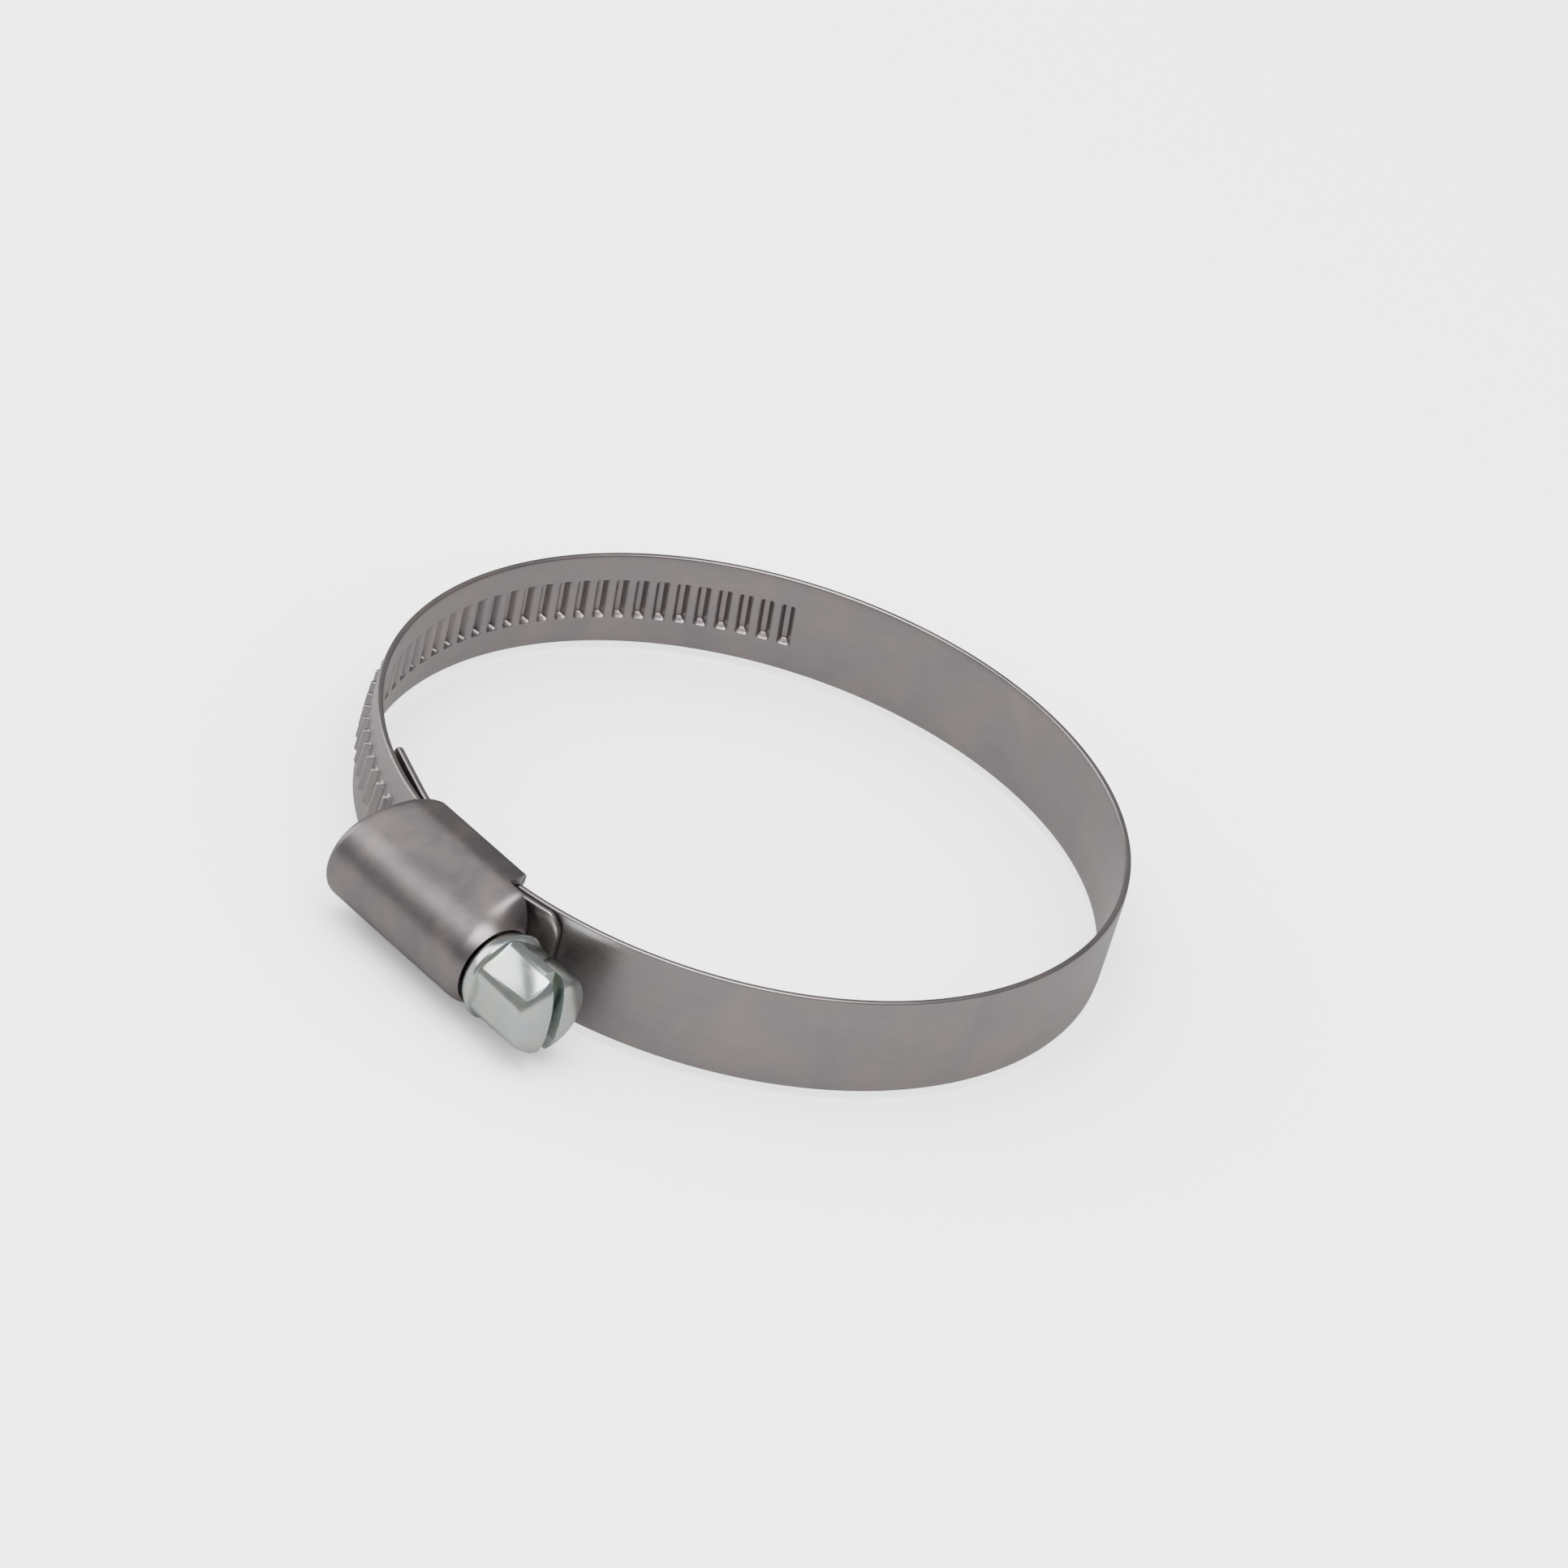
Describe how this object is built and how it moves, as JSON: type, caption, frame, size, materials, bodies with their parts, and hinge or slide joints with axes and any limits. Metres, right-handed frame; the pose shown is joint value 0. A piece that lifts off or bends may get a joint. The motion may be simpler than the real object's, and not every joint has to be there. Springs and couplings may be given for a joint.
{
  "type": "hose clamp",
  "caption": "Worm-drive hose clamp: a toothed steel band closed into a loop through a folded sheet housing, drawn in by a slotted hex-head screw.",
  "frame": {"origin": "centre of the clamped hose, at the middle of the band's width", "axes": "+Z along the hose, housing at -Y, screw head towards +X"},
  "size_m": [0.0652, 0.0723, 0.0106],
  "materials": {
    "band_steel": "satin rolled stainless strip",
    "housing_steel": "satin pressed stainless sheet",
    "screw_zinc": "bright zinc plate"
  },
  "bodies": {
    "root": {"housing": "housing_steel", "fixed_end": "band_steel"},
    "screw": {"screw": "screw_zinc"},
    "band_link_01": {"band_link_01": "band_steel"},
    "band_link_02": {"band_link_02": "band_steel"},
    "band_link_03": {"band_link_03": "band_steel"},
    "band_link_04": {"band_link_04": "band_steel"},
    "band_link_05": {"band_link_05": "band_steel"},
    "band_link_06": {"band_link_06": "band_steel"},
    "band_link_07": {"band_link_07": "band_steel"},
    "band_link_08": {"band_link_08": "band_steel"},
    "toothed_end": {"toothed_end": "band_steel"}
  },
  "joints": [
    {"name": "screw_turn", "type": "hinge", "parent": "root", "child": "screw", "pos_m": [0, -0.03608, 0], "axis": [-1, 0, 0], "range_deg": [-360, 2160]},
    {"name": "band_flex_01", "type": "hinge", "parent": "root", "child": "band_link_01", "pos_m": [0.00734, -0.03097, 0], "axis": [0, 0, 1], "range_deg": [-0.41, 2.47]},
    {"name": "band_flex_02", "type": "hinge", "parent": "band_link_01", "child": "band_link_02", "pos_m": [0.02438, -0.02046, 0], "axis": [0, 0, 1], "range_deg": [-0.39, 2.33]},
    {"name": "band_flex_03", "type": "hinge", "parent": "band_link_02", "child": "band_link_03", "pos_m": [0.03177, -0.00185, 0], "axis": [0, 0, 1], "range_deg": [-0.37, 2.19]},
    {"name": "band_flex_04", "type": "hinge", "parent": "band_link_03", "child": "band_link_04", "pos_m": [0.02659, 0.01749, 0], "axis": [0, 0, 1], "range_deg": [-0.35, 2.08]},
    {"name": "band_flex_05", "type": "hinge", "parent": "band_link_04", "child": "band_link_05", "pos_m": [0.01088, 0.02991, 0], "axis": [0, 0, 1], "range_deg": [-0.34, 2.02]},
    {"name": "band_flex_06", "type": "hinge", "parent": "band_link_05", "child": "band_link_06", "pos_m": [-0.00925, 0.03047, 0], "axis": [0, 0, 1], "range_deg": [-0.34, 2.03]},
    {"name": "band_flex_07", "type": "hinge", "parent": "band_link_06", "child": "band_link_07", "pos_m": [-0.02586, 0.01884, 0], "axis": [0, 0, 1], "range_deg": [-0.36, 2.13]},
    {"name": "band_flex_08", "type": "hinge", "parent": "band_link_07", "child": "band_link_08", "pos_m": [-0.03224, -0.00042, 0], "axis": [0, 0, 1], "range_deg": [-0.38, 2.29]},
    {"name": "band_flex_09", "type": "hinge", "parent": "band_link_08", "child": "toothed_end", "pos_m": [-0.02586, -0.01967, 0], "axis": [0, 0, 1], "range_deg": [-0.42, 2.49]}
  ],
  "couplings": [
    {"joint": "band_flex_01", "follows": "screw_turn", "ratio": 0.0011412},
    {"joint": "band_flex_02", "follows": "screw_turn", "ratio": 0.0010774},
    {"joint": "band_flex_03", "follows": "screw_turn", "ratio": 0.0010147},
    {"joint": "band_flex_04", "follows": "screw_turn", "ratio": 0.0009619},
    {"joint": "band_flex_05", "follows": "screw_turn", "ratio": 0.0009323},
    {"joint": "band_flex_06", "follows": "screw_turn", "ratio": 0.0009382},
    {"joint": "band_flex_07", "follows": "screw_turn", "ratio": 0.0009834},
    {"joint": "band_flex_08", "follows": "screw_turn", "ratio": 0.0010597},
    {"joint": "band_flex_09", "follows": "screw_turn", "ratio": 0.0011505}
  ]
}
